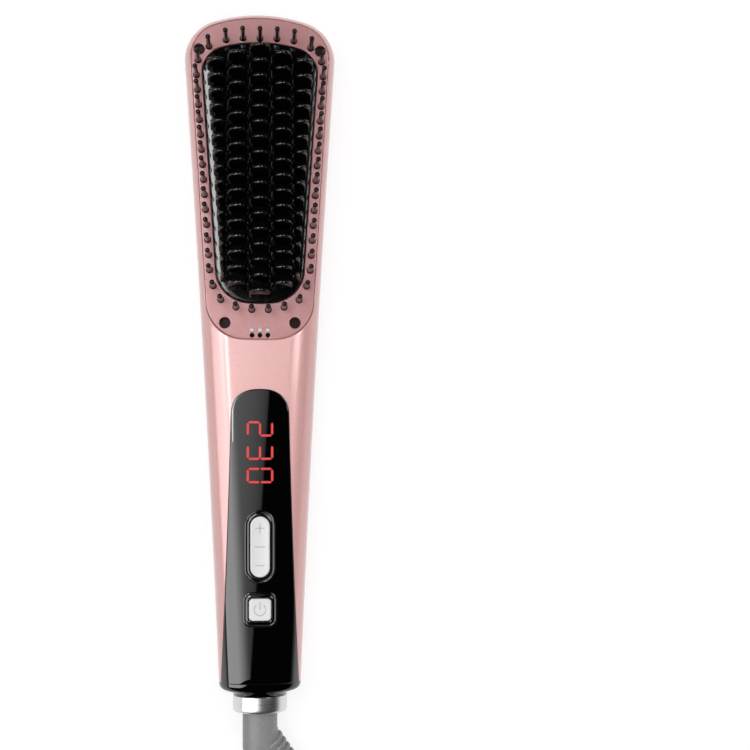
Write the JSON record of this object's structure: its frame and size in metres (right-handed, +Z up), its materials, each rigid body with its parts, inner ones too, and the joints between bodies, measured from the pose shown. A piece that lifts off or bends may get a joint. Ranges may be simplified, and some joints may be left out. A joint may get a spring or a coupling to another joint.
{
  "type": "steam hair straightener brush",
  "caption": "Heated hair straightening brush with a toothed ceramic plate, guard bristles, digital display, rocker and power buttons, and a swivelling mains cord wound in a hank.",
  "frame": {"origin": "middle of the brush's length and width, on the surface that its back cover lies on", "axes": "+X across the brush to the right as seen from the toothed side, +Y along it towards the head, +Z up out of the toothed side"},
  "size_m": [0.0744, 0.4973, 0.0361],
  "materials": {
    "rose_shell": "satin pearl rose gold lacquer",
    "rose_frame": "satin rose gold lacquer",
    "black_gloss": "high gloss black",
    "black_ceramic": "glossy black ceramic coat",
    "bristle_brown": "semi-gloss heat-proof nylon",
    "white_plastic": "satin white",
    "red_digits": "lit red display segments",
    "silver_metal": "turned satin silver",
    "screw_steel": "darkened steel",
    "contact_brass": "satin brass",
    "heater_aluminium": "satin aluminium",
    "mica": "pressed mica",
    "board_green": "solder mask green",
    "dark_plastic": "matte dark plastic",
    "boot_rubber": "matte dark grey rubber",
    "cord_rubber": "matte black sheath",
    "wire_red": "wire insulation"
  },
  "bodies": {
    "handle": {"front_shell": "rose_shell", "back_shell": "rose_shell", "back_cover": "black_gloss", "face_frame": "rose_frame", "guard_bristles": "bristle_brown", "heater_plate": "black_ceramic", "heating_teeth": "black_ceramic", "heating_element": "heater_aluminium", "mica_sheet": "mica", "heater_bracket": "heater_aluminium", "thermistor": "dark_plastic", "thermal_fuse": "heater_aluminium", "face_screws": "screw_steel", "outlet_nozzles": "white_plastic", "ion_generator": "dark_plastic", "control_panel": "black_gloss", "display_digits": "red_digits", "display_module": "dark_plastic", "rocker_bezel": "black_gloss", "power_bezel": "black_gloss", "rocker_pin": "screw_steel", "tact_switches": "dark_plastic", "circuit_board": "board_green", "board_components": "dark_plastic", "board_screws": "screw_steel", "case_screws": "screw_steel", "heater_wires": "wire_red", "mains_wires": "wire_red", "tail_cap": "black_gloss", "collar_ring": "silver_metal", "contact_springs": "contact_brass"},
    "rocker": {"temperature_rocker": "white_plastic"},
    "power": {"power_button": "white_plastic"},
    "cord": {"swivel_sleeve": "white_plastic", "slip_rings": "contact_brass", "strain_relief": "boot_rubber", "power_cord": "cord_rubber", "cord_hank": "cord_rubber", "hank_tie": "cord_rubber", "plug_lead": "cord_rubber", "plug_body": "cord_rubber", "plug_pins": "silver_metal"}
  },
  "joints": [
    {"name": "temperature_rocker", "type": "hinge", "parent": "handle", "child": "rocker", "pos_m": [0, -0.0772, 0.021], "axis": [1, 0, 0], "range_deg": [-3, 3], "stiffness_Nm_per_rad": 0.05},
    {"name": "power_button", "type": "slide", "parent": "handle", "child": "power", "axis": [0, 0, -1], "range_m": [0, 0.0005], "stiffness_N_per_m": 800},
    {"name": "cord_swivel", "type": "hinge", "parent": "handle", "child": "cord", "pos_m": [0, -0.1455, 0.012], "axis": [0, 1, 0], "range_deg": [-180, 180]}
  ]
}
